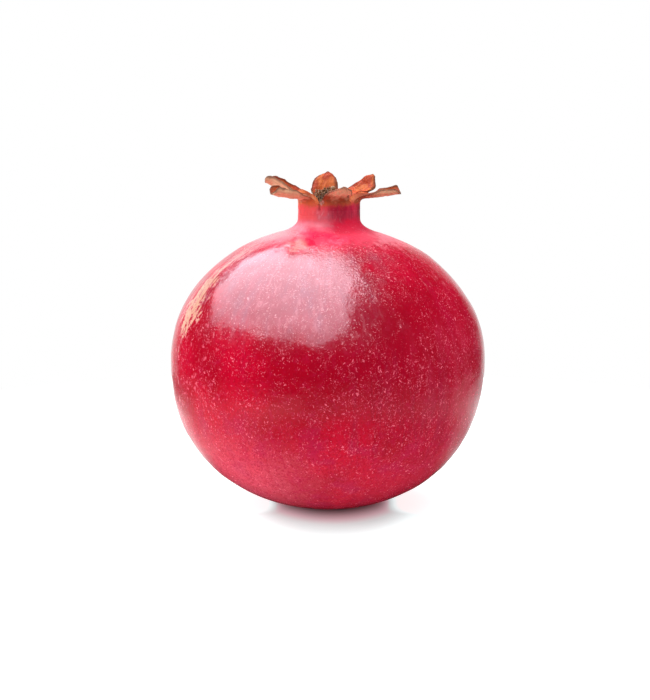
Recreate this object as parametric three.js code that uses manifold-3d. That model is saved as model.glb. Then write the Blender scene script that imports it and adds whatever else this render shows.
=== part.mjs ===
// A whole pomegranate standing on its stem end, in millimetres, +Z up. The origin is on the
// table, under the middle of the fruit. Four bodies: the rind with its neck, the dried calyx of
// six sepals on the neck's rim, the tuft of dried stamens in the neck, and the clipped stem.
import * as THREE from "three";
import { mergeVertices } from "three/addons/utils/BufferGeometryUtils.js";
import Module from "manifold-3d";

const wasm = await Module();
wasm.setup();

// ---------------------------------------------------------------- driving dimensions

const BODY_RADIUS = 47.5; // half the widest breadth
const EQUATOR_HEIGHT = 45; // the widest girth above the table
const DOME_RISE = 40.6; // from there to where the dome would meet the axis
const DOME_POWER = 2; // 2 is an ellipse, and more is fuller
const BOWL_POWER = 2.2;

const FOOT_OUTER = 8.6; // the flat ring that the fruit rests on
const FOOT_INNER = 5.2;
const DIMPLE_DEPTH = 1.5; // from the foot up to the mouth of the stem's socket
const SOCKET_RADIUS = 3;
const SOCKET_TOP = 4.4;

const SHOULDER_RADIUS = 14.5; // where the dome turns up into the neck
const NECK_FOOT_HEIGHT = 87.8; // where that curve ends and the neck runs straight
const NECK_RADIUS = 9.4;
const NECK_SHIFT = 0.3; // the neck stands a little to +X of the fruit's middle
const WALL = 2.2; // of the neck and of the calyx at its root
const CUP_FLOOR_HEIGHT = 86.5;
const CUP_FLOOR_RADIUS = 6;
const SEAM_HEIGHT = 90.6; // the rind ends and the calyx begins
const NOTCH_HEIGHT = 92; // the sepals part here

const STUB_RADIUS = 2.7;
const STUB_BOTTOM = 0.7;
const STUB_CHAMFER = 0.4;
const STUB_FLUTE = 0.04; // the depth of its five grooves, as a share of its radius

// Rows and columns of the meshes.
const AROUND = 72;
const BOWL_ROWS = 15;
const DOME_ROWS = 13;
const FILLET_ROWS = 6;
const SEPAL_ROWS = 16;
const SEPAL_COLUMNS = 10;

// ---------------------------------------------------------------- relief of the rind

// Soft ribs and unevenness, each a wave round the axis: how many, how high, and where it peaks.
const RIBS = { count: 6, height: 0.5, peak: 285 };
const SWELLS = [
  { count: 1, height: 0.15, peak: 300 },
  { count: 2, height: 0.45, peak: 25 },
  { count: 3, height: 0.3, peak: 70 },
];
// The heights between which each comes in above the foot, and fades out under the neck.
const RIB_BAND = { start: 20, full: 62, fading: 80, gone: NECK_FOOT_HEIGHT };
const SWELL_BAND = { start: 3, full: 25, fading: 76, gone: NECK_FOOT_HEIGHT };
const SHIFT_BAND = { start: 66, full: 84 };

// ---------------------------------------------------------------- sepals

// Anticlockwise from +X, in degrees and millimetres. from and to are the notches on either side.
// bend turns the sepal outward from upright, within the share fold of its length, and lift turns
// it up again, from the share rise on. curl is the radius that its margins are rolled up to.
// twist rolls it about its length, and sway swings it sideways. breadth widens the blade, taper
// widens its end against its root, and a high blunt keeps that width up to the tip. skew draws
// the tip sideways and bow the middle, anticlockwise seen from above.
const SEPALS = [
  {
    from: 20, to: 70, length: 12.8, fold: 0.2, bend: 73, lift: -56, rise: 0.2,
    curl: 30, twist: 6, sway: 2, breadth: 2, taper: 1, blunt: 1.2, skew: -1, bow: 0.5,
  },
  {
    from: 70, to: 126, length: 10.6, fold: 0.2, bend: 36, lift: -4, rise: 0.45,
    curl: 8, twist: 4, sway: -28.5, breadth: 1.22, taper: 1, blunt: 3, skew: -0.3, bow: 0,
  },
  {
    from: 126, to: 189, length: 13.6, fold: 0.2, bend: 70, lift: -4, rise: 0.45,
    curl: 2.3, twist: 0, sway: 3, breadth: 0.95, taper: 1.2, blunt: 40, skew: 0, bow: 0,
  },
  {
    from: 189, to: 247, length: 13.2, fold: 0.2, bend: 82, lift: -5, rise: 0.45,
    curl: 2.2, twist: -8, sway: -5, breadth: 0.9, taper: 1.3, blunt: 40, skew: 0, bow: 0,
  },
  {
    from: 247, to: 320, length: 8.2, fold: 0.4, bend: 62, lift: -22, rise: 0.5,
    curl: 6, twist: -12, sway: 8, breadth: 0.8, taper: 1, blunt: 3.4, skew: 0.8, bow: 0,
  },
  {
    from: 320, to: 380, length: 13.5, fold: 0.2, bend: 84, lift: -6, rise: 0.45,
    curl: 2.2, twist: 12, sway: 2, breadth: 0.62, taper: 1.75, blunt: 40, skew: 0, bow: 0,
  },
];
const NOTCH_DRAW = 0.26; // how much of its breadth a sepal loses at the notch
const BELLY = 0.12; // how much its blade swells again at the middle
const SEPAL_THICKNESS = 0.95;
const MARGIN_THICKNESS = 0.7;
const TIP_WIDTH = 1.2;
const WAVE_HEIGHT = 0.35; // of the waved margins
const WAVE_TURN = 11; // radians of wave in a sepal's length

// ---------------------------------------------------------------- stamens

const FILAMENTS = 46;
const FILAMENT_RADIUS = 0.4;
const ANTHER_RADIUS = 0.6;
const FILAMENT_SPREAD = 5.2; // the outermost roots stand this far from the middle
const TUFT_RADIUS = 6.9; // all of the tuft stays inside it, clear of the wall
const MAT_TOP = 92.2; // the matted lower part of the tuft
const MAT_SHOULDER = 90.4;
const TUFT_TOP = 96.6;
const STYLE_TOP = 97.4;
const GOLDEN_ANGLE = 137.5; // spreads the roots evenly
const SEED = 20;

// ---------------------------------------------------------------- small helpers

const degrees = THREE.MathUtils.degToRad;
const { lerp, smoothstep } = THREE.MathUtils;

// A repeatable stream of numbers from 0 to 1.
function seededRandom(seed) {
  let state = seed;
  return () => {
    state = (state * 1664525 + 1013904223) % 4294967296;
    return state / 4294967296;
  };
}

function geometryOf(points, triangles) {
  const geometry = new THREE.BufferGeometry().setFromPoints(points);
  geometry.setIndex(triangles);
  return geometry;
}

function solidOf(geometry) {
  const bare = new THREE.BufferGeometry();
  bare.setAttribute("position", geometry.getAttribute("position"));
  bare.setIndex(geometry.index);
  const merged = mergeVertices(bare, 1e-3);
  return new wasm.Manifold(
    new wasm.Mesh({
      numProp: 3,
      vertProperties: merged.attributes.position.array,
      triVerts: new Uint32Array(merged.index.array),
    }),
  );
}

function geometryFromSolid(solid) {
  const mesh = solid.getMesh();
  const geometry = new THREE.BufferGeometry();
  const position = new THREE.BufferAttribute(mesh.vertProperties, mesh.numProp);
  geometry.setAttribute("position", position);
  geometry.setIndex(new THREE.BufferAttribute(mesh.triVerts, 1));
  return geometry;
}

// A profile of [radius, height] pairs turned about +Z.
function turned(profile, segments) {
  const points = profile.map(([radius, height]) => new THREE.Vector2(radius, height));
  return new THREE.LatheGeometry(points, segments).rotateX(Math.PI / 2);
}

// Points after the first on a curve that leaves start towards corner and arrives from it at end.
function bendPoints(start, corner, end, rows) {
  const [a, b, c] = [start, corner, end].map(([radius, height]) => new THREE.Vector2(radius, height));
  const points = new THREE.QuadraticBezierCurve(a, b, c).getPoints(rows).slice(1);
  return points.map((point) => [point.x, point.y]);
}

// ---------------------------------------------------------------- rind

// The bowl is a superellipse that is cut by the table at the foot's outer radius.
const FOOT_SHARE = (FOOT_OUTER / BODY_RADIUS) ** BOWL_POWER;
const BOWL_DROP = EQUATOR_HEIGHT / (1 - FOOT_SHARE) ** (1 / BOWL_POWER);
const FOOT_TURN = Math.acos(Math.sqrt(FOOT_SHARE));

function bowlPoint(turn) {
  return [
    BODY_RADIUS * Math.cos(turn) ** (2 / BOWL_POWER),
    EQUATOR_HEIGHT - BOWL_DROP * Math.sin(turn) ** (2 / BOWL_POWER),
  ];
}

function domeHeight(radius) {
  const share = (radius / BODY_RADIUS) ** DOME_POWER;
  return EQUATOR_HEIGHT + DOME_RISE * (1 - share) ** (1 / DOME_POWER);
}

function stemSocket() {
  const mouth = [SOCKET_RADIUS, DIMPLE_DEPTH];
  const rim = [FOOT_INNER, 0];
  return [
    [0, SOCKET_TOP],
    [SOCKET_RADIUS, SOCKET_TOP],
    mouth,
    ...bendPoints(mouth, [FOOT_INNER - 1, DIMPLE_DEPTH], rim, 3),
  ];
}

function bowl() {
  const points = [[FOOT_OUTER, 0]];
  for (let i = 1; i < BOWL_ROWS; i++) points.push(bowlPoint(FOOT_TURN * (1 - i / BOWL_ROWS)));
  return points;
}

function dome() {
  const shoulderTurn = Math.acos(SHOULDER_RADIUS / BODY_RADIUS);
  const points = [];
  for (let i = 0; i <= DOME_ROWS; i++) {
    const radius = BODY_RADIUS * Math.cos((shoulderTurn * i) / DOME_ROWS);
    points.push([radius, domeHeight(radius)]);
  }
  return points;
}

// The dome's slope is carried on until it meets the neck, and the corner there is rounded.
function neckFillet() {
  const shoulder = [SHOULDER_RADIUS, domeHeight(SHOULDER_RADIUS)];
  const step = 0.01;
  const slope = (domeHeight(SHOULDER_RADIUS - step) - shoulder[1]) / step;
  const corner = [NECK_RADIUS, shoulder[1] + slope * (SHOULDER_RADIUS - NECK_RADIUS)];
  return bendPoints(shoulder, corner, [NECK_RADIUS, NECK_FOOT_HEIGHT], FILLET_ROWS);
}

function neckAndCup() {
  const bore = NECK_RADIUS - WALL;
  return [
    [NECK_RADIUS, (NECK_FOOT_HEIGHT + SEAM_HEIGHT) / 2],
    [NECK_RADIUS, SEAM_HEIGHT],
    [bore, SEAM_HEIGHT],
    [bore, CUP_FLOOR_HEIGHT + 2],
    [bore - 0.4, CUP_FLOOR_HEIGHT + 0.6],
    [CUP_FLOOR_RADIUS, CUP_FLOOR_HEIGHT],
    [0, CUP_FLOOR_HEIGHT],
  ];
}

function bandShare(height, { start, full, fading, gone }) {
  return smoothstep(height, start, full) * (1 - smoothstep(height, fading, gone));
}

// How far the skin stands out from the plain profile, by azimuth and height.
function relief(azimuth, height) {
  const wave = (ring) => ring.height * Math.cos(ring.count * (azimuth - degrees(ring.peak)));
  const swell = SWELLS.reduce((sum, ring) => sum + wave(ring), 0);
  return bandShare(height, RIB_BAND) * wave(RIBS) + bandShare(height, SWELL_BAND) * swell;
}

function rindGeometry() {
  const profile = [...stemSocket(), ...bowl(), ...dome(), ...neckFillet(), ...neckAndCup()];
  const geometry = turned(profile, AROUND);
  const position = geometry.getAttribute("position");
  for (let i = 0; i < position.count; i++) {
    const x = position.getX(i);
    const y = position.getY(i);
    const z = position.getZ(i);
    const azimuth = Math.atan2(y, x);
    const out = relief(azimuth, z);
    const shift = NECK_SHIFT * smoothstep(z, SHIFT_BAND.start, SHIFT_BAND.full);
    position.setXY(i, x + out * Math.cos(azimuth) + shift, y + out * Math.sin(azimuth));
  }
  return geometry;
}

// ---------------------------------------------------------------- calyx

// The directions at a place along a sepal: along it, across it, and inward, which turns to up as
// the sepal bends out.
function sepalAxes(sepal, along) {
  const bent = sepal.bend * smoothstep(along, 0, sepal.fold);
  const tilt = degrees(bent + sepal.lift * smoothstep(along, sepal.rise, 1));
  const heading = degrees((sepal.from + sepal.to) / 2 + sepal.sway * along);
  const tangent = new THREE.Vector3(
    Math.cos(heading) * Math.sin(tilt),
    Math.sin(heading) * Math.sin(tilt),
    Math.cos(tilt),
  );
  const across = new THREE.Vector3(-Math.sin(heading), Math.cos(heading), 0);
  const inward = new THREE.Vector3().crossVectors(tangent, across);
  return { tangent, across, inward };
}

// The middle line of a sepal's outer face, from its root up.
function sepalCentre(sepal, along) {
  const steps = 48;
  const root = degrees((sepal.from + sepal.to) / 2);
  const centre = new THREE.Vector3(Math.cos(root), Math.sin(root), 0);
  centre.multiplyScalar(NECK_RADIUS).setZ(NOTCH_HEIGHT);
  for (let i = 0; i < steps; i++) {
    const { tangent } = sepalAxes(sepal, (along * (i + 0.5)) / steps);
    centre.addScaledVector(tangent, (along * sepal.length) / steps);
  }
  return centre;
}

// Full at the root, drawn in at the notch, then a blade that is ovate or square-ended.
function sepalHalfWidth(sepal, along) {
  const root = (NECK_RADIUS * degrees(sepal.to - sepal.from)) / 2;
  const notch = 1 - NOTCH_DRAW * smoothstep(along, 0, 0.17);
  const breadth = lerp(1, sepal.breadth, smoothstep(along, 0, 0.4));
  const taper = lerp(1, sepal.taper, smoothstep(along, 0.1, 1));
  const blade = (1 + BELLY * Math.sin(Math.PI * along)) * (1 - along ** sepal.blunt) ** 0.55;
  return Math.max(root * notch * breadth * taper * blade, TIP_WIDTH / 2);
}

// A point of the outer and of the inner face. side runs from -1 to 1 across the sepal.
function sepalPoints(sepal, side, along) {
  const { tangent, across, inward } = sepalAxes(sepal, along);
  const roll = degrees(sepal.twist) * smoothstep(along, 0.15, 1);
  across.applyAxisAngle(tangent, roll);
  inward.applyAxisAngle(tangent, roll);

  const curve = lerp(1 / NECK_RADIUS, 1 / sepal.curl, smoothstep(along, 0, 0.6));
  const angle = sepalHalfWidth(sepal, along) * curve * side;
  const bowed = sepal.bow * Math.sin(Math.PI * smoothstep(along, 0.1, 1));
  const drawn = sepal.skew * smoothstep(along, 0.3, 1) + bowed;
  const grown = smoothstep(along, 0.1, 0.6);
  const ripple = WAVE_HEIGHT * Math.sin(WAVE_TURN * along + sepal.from) * side ** 2 * grown;
  const outer = sepalCentre(sepal, along)
    .addScaledVector(across, Math.sin(angle) / curve + drawn)
    .addScaledVector(inward, (1 - Math.cos(angle)) / curve + ripple);

  const blade = lerp(SEPAL_THICKNESS, MARGIN_THICKNESS, side ** 2);
  const thickness = lerp(WALL, blade, smoothstep(along, 0, 0.3));
  const normal = inward.multiplyScalar(Math.cos(angle)).addScaledVector(across, -Math.sin(angle));
  return [outer, outer.clone().addScaledVector(normal, thickness)];
}

// Row 0 is the seam with the rind, straight below row 1, which is the sepal's root. Neighbours
// share their corners there, so the six root pieces close into a ring.
function addSepal(sepal, points, triangles) {
  const faces = [[], []];
  for (let row = 0; row <= SEPAL_ROWS + 1; row++) {
    for (const face of faces) face.push([]);
    for (let column = 0; column <= SEPAL_COLUMNS; column++) {
      const side = (2 * column) / SEPAL_COLUMNS - 1;
      const pair = sepalPoints(sepal, side, Math.max(row - 1, 0) / SEPAL_ROWS);
      pair.forEach((point, face) => {
        if (row === 0) point.z = SEAM_HEIGHT;
        faces[face][row].push(points.length);
        points.push(point);
      });
    }
  }

  const [outer, inner] = faces;
  const quad = (a, b, c, d) => triangles.push(a, b, c, a, c, d);
  const tip = SEPAL_ROWS + 1;
  const edge = SEPAL_COLUMNS;
  for (let i = 0; i < tip; i++) {
    for (let j = 0; j < edge; j++) {
      quad(outer[i][j], outer[i][j + 1], outer[i + 1][j + 1], outer[i + 1][j]);
      quad(inner[i + 1][j + 1], inner[i][j + 1], inner[i][j], inner[i + 1][j]);
    }
  }
  for (let j = 0; j < edge; j++) {
    quad(outer[0][j + 1], outer[0][j], inner[0][j], inner[0][j + 1]);
    quad(outer[tip][j], outer[tip][j + 1], inner[tip][j + 1], inner[tip][j]);
  }
  for (let i = 1; i < tip; i++) {
    quad(outer[i][0], outer[i + 1][0], inner[i + 1][0], inner[i][0]);
    quad(outer[i + 1][edge], outer[i][edge], inner[i][edge], inner[i + 1][edge]);
  }
}

function calyxGeometry() {
  const points = [];
  const triangles = [];
  for (const sepal of SEPALS) addSepal(sepal, points, triangles);
  return geometryOf(points, triangles);
}

// ---------------------------------------------------------------- stamens

// A closed tube through the given places, with a radius at each.
function taperedTube(path, radii, sides) {
  const points = [];
  const triangles = [];
  const frame = new THREE.Quaternion();
  const upright = new THREE.Vector3(0, 0, 1);
  path.forEach((place, i) => {
    const before = path[Math.max(i - 1, 0)];
    const after = path[Math.min(i + 1, path.length - 1)];
    frame.setFromUnitVectors(upright, after.clone().sub(before).normalize());
    for (let k = 0; k < sides; k++) {
      const angle = (2 * Math.PI * k) / sides;
      const spoke = new THREE.Vector3(Math.cos(angle), Math.sin(angle), 0);
      points.push(spoke.multiplyScalar(radii[i]).applyQuaternion(frame).add(place));
    }
  });
  for (let i = 0; i < path.length - 1; i++) {
    for (let k = 0; k < sides; k++) {
      const a = i * sides + k;
      const b = i * sides + ((k + 1) % sides);
      triangles.push(a, b, b + sides, a, b + sides, a + sides);
    }
  }
  const last = (path.length - 1) * sides;
  for (let k = 1; k < sides - 1; k++) {
    triangles.push(0, k + 1, k, last, last + k, last + k + 1);
  }
  return solidOf(geometryOf(points, triangles));
}

// The matted part, a plug on the cup's floor with a domed top.
function tuftMat() {
  const profile = [
    [0, CUP_FLOOR_HEIGHT],
    [CUP_FLOOR_RADIUS - 0.4, CUP_FLOOR_HEIGHT],
    [TUFT_RADIUS - 0.5, CUP_FLOOR_HEIGHT + 1.4],
    [TUFT_RADIUS - 0.4, MAT_SHOULDER],
    [TUFT_RADIUS * 0.6, lerp(MAT_SHOULDER, MAT_TOP, 0.7)],
    [0, MAT_TOP],
  ];
  return solidOf(turned(profile, 20));
}

// The filaments lean round the middle the same way, so few of them cross.
function filament(order, random) {
  const azimuth = degrees(order * GOLDEN_ANGLE);
  const radius = FILAMENT_SPREAD * Math.sqrt((order + 0.5) / FILAMENTS);
  const top = TUFT_TOP - 2.2 * random() - (1.6 * radius) / FILAMENT_SPREAD;
  const swirl = degrees(16 + 22 * random());
  const draw = 0.12 + 0.2 * random();
  const place = (share, hook) => {
    const heading = azimuth + swirl * share ** 2;
    const reach = radius * (1 - draw * share ** 2);
    return new THREE.Vector3(
      reach * Math.cos(heading) - hook * Math.sin(heading),
      reach * Math.sin(heading) + hook * Math.cos(heading),
      lerp(MAT_SHOULDER, top, Math.min(share, 1)),
    );
  };
  const path = [0, 0.35, 0.7, 0.92].map((share) => place(share, 0));
  path.push(place(1.06, 0.5));
  const radii = [0.5, FILAMENT_RADIUS, FILAMENT_RADIUS, ANTHER_RADIUS, 0.35];
  return taperedTube(path, radii, 3);
}

// The style stands out of the tuft's middle, and ends in a small knob.
function style() {
  const stops = [
    { lean: 0, height: 88.5, radius: 0.9 },
    { lean: 0.3, height: 91.5, radius: 0.7 },
    { lean: 0.9, height: 94.5, radius: 0.6 },
    { lean: 1.2, height: STYLE_TOP - 0.8, radius: 1 },
    { lean: 1.1, height: STYLE_TOP, radius: 0.6 },
  ];
  const path = stops.map(({ lean, height }) => new THREE.Vector3(lean, -lean / 2, height));
  return taperedTube(path, stops.map(({ radius }) => radius), 6);
}

function stamensGeometry() {
  const random = seededRandom(SEED);
  const solids = [tuftMat(), style()];
  for (let order = 0; order < FILAMENTS; order++) solids.push(filament(order, random));
  // The outer shell alone: hollows that the filaments close between them are filled.
  const shells = wasm.Manifold.union(solids).decompose();
  const outerShell = shells.reduce((a, b) => (b.volume() > a.volume() ? b : a));
  return geometryFromSolid(outerShell);
}

// ---------------------------------------------------------------- stem

function stubGeometry() {
  const profile = [
    [0, STUB_BOTTOM],
    [STUB_RADIUS - STUB_CHAMFER, STUB_BOTTOM],
    [STUB_RADIUS, STUB_BOTTOM + STUB_CHAMFER],
    [STUB_RADIUS, SOCKET_TOP],
    [0, SOCKET_TOP],
  ];
  const geometry = turned(profile, 30);
  const position = geometry.getAttribute("position");
  for (let i = 0; i < position.count; i++) {
    const x = position.getX(i);
    const y = position.getY(i);
    const fluted = 1 - STUB_FLUTE + STUB_FLUTE * Math.cos(5 * Math.atan2(y, x));
    position.setXY(i, x * fluted, y * fluted);
  }
  return geometry;
}

// ---------------------------------------------------------------- the fruit

const rindRed = new THREE.MeshStandardMaterial({ color: 0xb8122c, roughness: 0.38, metalness: 0 });
const sepalBrown = new THREE.MeshStandardMaterial({ color: 0xb5623c, roughness: 0.7, metalness: 0 });
const stamenTan = new THREE.MeshStandardMaterial({ color: 0x8a6f55, roughness: 0.9, metalness: 0 });
const twigBrown = new THREE.MeshStandardMaterial({ color: 0x6f5138, roughness: 0.9, metalness: 0 });

function named(name, geometry, material) {
  const mesh = new THREE.Mesh(geometry, material);
  mesh.name = name;
  return mesh;
}

// What stands in the neck follows its shift.
const crown = new THREE.Group();
crown.position.x = NECK_SHIFT;
crown.add(named("calyx", calyxGeometry(), sepalBrown));
crown.add(named("stamens", stamensGeometry(), stamenTan));

const pomegranate = new THREE.Group();
pomegranate.add(named("rind", rindGeometry(), rindRed));
pomegranate.add(named("stem_stub", stubGeometry(), twigBrown));
pomegranate.add(crown);

export default pomegranate;
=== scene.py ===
"""A whole pomegranate in a plain studio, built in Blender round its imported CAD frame.

Metres, +Z up. The camera stands at -Y. Lengths in the tables below are millimetres, as on the
frame's own solids, and MM turns them into metres.
"""
import math
import random

import bpy
import numpy as np
from mathutils import Matrix, Vector, noise


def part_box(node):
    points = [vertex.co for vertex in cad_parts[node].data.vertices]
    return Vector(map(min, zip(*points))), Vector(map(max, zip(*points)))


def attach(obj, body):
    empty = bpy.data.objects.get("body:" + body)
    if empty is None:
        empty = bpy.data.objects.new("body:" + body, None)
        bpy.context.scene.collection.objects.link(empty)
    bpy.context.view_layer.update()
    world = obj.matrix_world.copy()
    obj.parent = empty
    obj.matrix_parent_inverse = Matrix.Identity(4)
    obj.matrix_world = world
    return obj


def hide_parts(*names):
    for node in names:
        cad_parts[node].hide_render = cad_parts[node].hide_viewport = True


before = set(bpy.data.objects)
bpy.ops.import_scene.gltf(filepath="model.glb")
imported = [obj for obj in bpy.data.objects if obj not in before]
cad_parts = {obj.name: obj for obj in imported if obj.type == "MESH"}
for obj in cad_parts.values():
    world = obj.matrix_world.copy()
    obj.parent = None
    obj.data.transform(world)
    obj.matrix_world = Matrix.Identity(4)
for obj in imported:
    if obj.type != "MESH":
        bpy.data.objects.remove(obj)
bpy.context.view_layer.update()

MM = 0.001

# ---- the fruit's dimensions

BODY_RADIUS = 47.5
EQUATOR_HEIGHT = 45
DOME_RISE = 40.6
DOME_POWER = 2
BOWL_POWER = 2.2
FOOT_OUTER = 8.6
FOOT_INNER = 5.2
DIMPLE_DEPTH = 1.5
SOCKET_RADIUS = 3
SHOULDER_RADIUS = 14.5
NECK_FOOT_HEIGHT = 87.8
NECK_RADIUS = 9.4
NECK_SHIFT = 0.3
WALL = 2.2
CUP_FLOOR_RADIUS = 6
NOTCH_HEIGHT = 92

SEAM_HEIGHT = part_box("rind")[1].z / MM
CUP_FLOOR_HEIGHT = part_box("stamens")[0].z / MM
TUFT_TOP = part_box("stamens")[1].z / MM
STUB_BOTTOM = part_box("stem_stub")[0].z / MM
SOCKET_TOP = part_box("stem_stub")[1].z / MM
STUB_RADIUS = 2.7

RIBS = {"count": 6, "height": 0.5, "peak": 285}
SWELLS = [
    {"count": 1, "height": 0.15, "peak": 300},
    {"count": 2, "height": 0.45, "peak": 25},
    {"count": 3, "height": 0.3, "peak": 70},
]
# Heights between which they come in and fade out, and the neck's shift comes in.
RIB_BAND = (20, 62, 80, NECK_FOOT_HEIGHT)
SWELL_BAND = (3, 25, 76, NECK_FOOT_HEIGHT)
SHIFT_BAND = (66, 84)

# The width and the height of each layer of bumps on the skin. The neck is evener.
DENTS = [(11, 0.22), (4.2, 0.07), (1.9, 0.024)]
DENTS_START = (2, 12)
DENTS_END = (86, 90)
NECK_EVENNESS = 0.9

# The rind's mesh, from the foot to the cup, and round.
BOWL_ROWS, DOME_ROWS, FOOT_ROWS, SHOULDER_ROWS, NECK_ROWS, CUP_ROWS = 110, 82, 6, 16, 6, 5
RIND_COLUMNS = 400

# The sepals, as in the frame: each grows from the rim between the azimuths from and to, bends
# out by bend up to fold, turns by lift from rise on, curls across to a radius, twists and sways.
# breadth and taper change its width, blunt squares its end, skew and bow push its tip and middle
# aside. Only here: the turn of its hooked tip, the roll of its margins and how pale its outer face is
# made, partly painted fill light.
USUAL_SEPAL = {"fold": 0.2, "lift": -5, "rise": 0.45, "curl": 2.2, "sway": 2, "taper": 1, "blunt": 40,
               "skew": 0, "bow": 0, "hook": 0, "roll": 5}
SEPALS = [USUAL_SEPAL | own for own in (
    {"from": 20, "to": 70, "length": 12.8, "bend": 73, "lift": -56, "rise": 0.2, "curl": 30, "twist": 6,
     "breadth": 2.0, "blunt": 1.2, "skew": -1.0, "bow": 0.5, "hook": 60, "roll": 10, "pale": 0.2},
    {"from": 70, "to": 126, "length": 10.6, "bend": 36, "lift": -4, "curl": 8, "twist": 4, "sway": -28.5,
     "breadth": 1.22, "blunt": 3, "skew": -0.3, "hook": 10, "roll": 20, "pale": 0.2},
    {"from": 126, "to": 189, "length": 13.6, "bend": 70, "lift": -4, "curl": 2.3, "twist": 0, "sway": 3,
     "breadth": 0.95, "taper": 1.2, "pale": 1.0},
    {"from": 189, "to": 247, "length": 13.2, "bend": 82, "twist": -8, "sway": -5, "breadth": 0.9,
     "taper": 1.3, "pale": 0.8},
    {"from": 247, "to": 320, "length": 8.2, "fold": 0.4, "bend": 62, "lift": -22, "rise": 0.5, "curl": 6,
     "twist": -12, "sway": 8, "breadth": 0.8, "blunt": 3.4, "skew": 0.8, "hook": -30, "roll": -20,
     "pale": 0.6},
    {"from": 320, "to": 380, "length": 13.5, "bend": 84, "lift": -6, "twist": 12, "breadth": 0.62,
     "taper": 1.75, "pale": 0.5},
)]
HOOK_START = 0.84
NOTCH_DRAW = 0.26
BELLY = 0.12
SEPAL_THICKNESS = 0.95
TIP_WIDTH = 0.9
SEPAL_ROWS, SEPAL_COLUMNS = 56, 36

# The raggedness is a share of the width, and the thinness is what the thickness falls to: its
# square at a margin.
RAGGEDNESS = 0.06
WAVE_HEIGHT = 0.5
RIDGE_HEIGHT = 0.07
RIDGE_TURNS = 14
MARGIN_THINNESS = 0.16
TIP_THINNESS = 0.6

# The folds and the grain of the dried sepals: the size and the height of each.
CRUMPLE_FOLDS = (2.4, 0.34)
CRUMPLE_GRAIN = (0.9, 0.10)
CRUMPLE_SEED = 35


# ---- small helpers


def smoothstep(value, low, high):
    share = np.clip((value - low) / (high - low), 0, 1)
    return share * share * (3 - 2 * share)


def lerp(a, b, share):
    return a + (b - a) * share


def bumps(point, size, seed=0):
    """Smooth noise from about -1 to 1, with bumps about size across."""
    return noise.noise(Vector(point) / size + Vector((seed * 17.3, seed * 5.1, seed * 9.7)))


def azimuths(count):
    """Angles evenly round a circle."""
    return [2 * math.pi * k / count for k in range(count)]


def spoke(radius, azimuth, height=0.0):
    """The point at a radius, an azimuth and a height."""
    return Vector((radius * math.cos(azimuth), radius * math.sin(azimuth), height))


def ring_sides(starts, sides):
    """Faces between rings of points, whose first points are starts."""
    faces = []
    for low, high in zip(starts, starts[1:]):
        for k in range(sides):
            after = (k + 1) % sides
            faces.append((low + k, low + after, high + after, high + k))
    return faces


def ring_faces(starts, sides):
    """The same, with a cap on each end."""
    first = tuple(starts[0] + k for k in reversed(range(sides)))
    return ring_sides(starts, sides) + [first, tuple(starts[-1] + k for k in range(sides))]


def add_object(name, data):
    made = bpy.data.objects.new(name, data)
    bpy.context.scene.collection.objects.link(made)
    return made


def add_mesh(name, points, faces, node, material, sharp=50):
    """A piece that stands for a node. Its points are in millimetres."""
    mesh = bpy.data.meshes.new(name)
    mesh.from_pydata([Vector(point) * MM for point in points], [], faces)
    mesh.validate()
    mesh.materials.append(material)
    mesh.shade_smooth()
    mesh.set_sharp_from_angle(angle=math.radians(sharp))
    piece = add_object(name, mesh)
    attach(piece, "root")
    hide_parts(node)
    return piece


def add_attribute(piece, name, values):
    """Three numbers a point, for the material to read."""
    layer = piece.data.attributes.new(name, "FLOAT_VECTOR", "POINT")
    layer.data.foreach_set("vector", np.asarray(values, dtype=float).ravel())


# ---- shader helpers


class Value:
    """What a node gives out. Arithmetic on it, and each method, adds nodes."""

    def __init__(self, nodes, socket):
        self.nodes, self.socket = nodes, socket

    def math(self, operation, other=0.0):
        return self.nodes.node("ShaderNodeMath", {0: self, 1: other}, operation=operation)

    def __add__(self, other):
        return self.math("ADD", other)

    def __sub__(self, other):
        return self.math("SUBTRACT", other)

    def __mul__(self, other):
        return self.math("MULTIPLY", other)

    def larger(self, other):
        return self.math("MAXIMUM", other)

    def away(self, middle=0.0):
        """How far it is from the middle."""
        return (self - middle).math("ABSOLUTE")

    def swing(self, amount, middle=0.5):
        """Noise moved to lie about 0, and widened by amount."""
        return (self - middle) * amount

    def smooth(self, low, high, start=0.0, end=1.0, form="SMOOTHSTEP"):
        """From start to end, as it goes from low to high."""
        inputs = {"Value": self, "From Min": low, "From Max": high, "To Min": start, "To Max": end}
        return self.nodes.node("ShaderNodeMapRange", inputs, interpolation_type=form)

    def band(self, start, full, fading, gone):
        return self.smooth(start, full) * self.smooth(fading, gone, 1, 0)

    def within(self, limits):
        """Fades in between two limits, and with four out again."""
        return self.band(*limits) if len(limits) == 4 else self.smooth(*limits)

    def vector(self, operation, other=(0, 0, 0), output=0):
        return self.nodes.node("ShaderNodeVectorMath", {0: self, 1: other}, output, operation=operation)

    def scaled(self, factors):
        return self.vector("MULTIPLY", factors)

    def moved(self, offset):
        return self.vector("ADD", offset)

    def dot(self, other):
        return self.vector("DOT_PRODUCT", other, 1)

    def gap(self, other):
        return self.vector("DISTANCE", other, 1)

    def length(self):
        return self.vector("LENGTH", output=1)

    def from_axis(self):
        """How far a point is from the upright axis."""
        return self.scaled((1, 1, 0)).length()

    def near(self, centre, radius, softness):
        """1 within a ball and 0 outside it."""
        return self.gap(centre).smooth(radius - softness, radius + softness, 1, 0)

    def other(self, output):
        """Another output of the same node."""
        return Value(self.nodes, self.socket.node.outputs[output])

    def split(self):
        x = self.nodes.node("ShaderNodeSeparateXYZ", {0: self})
        return x, x.other(1), x.other(2)


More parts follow.
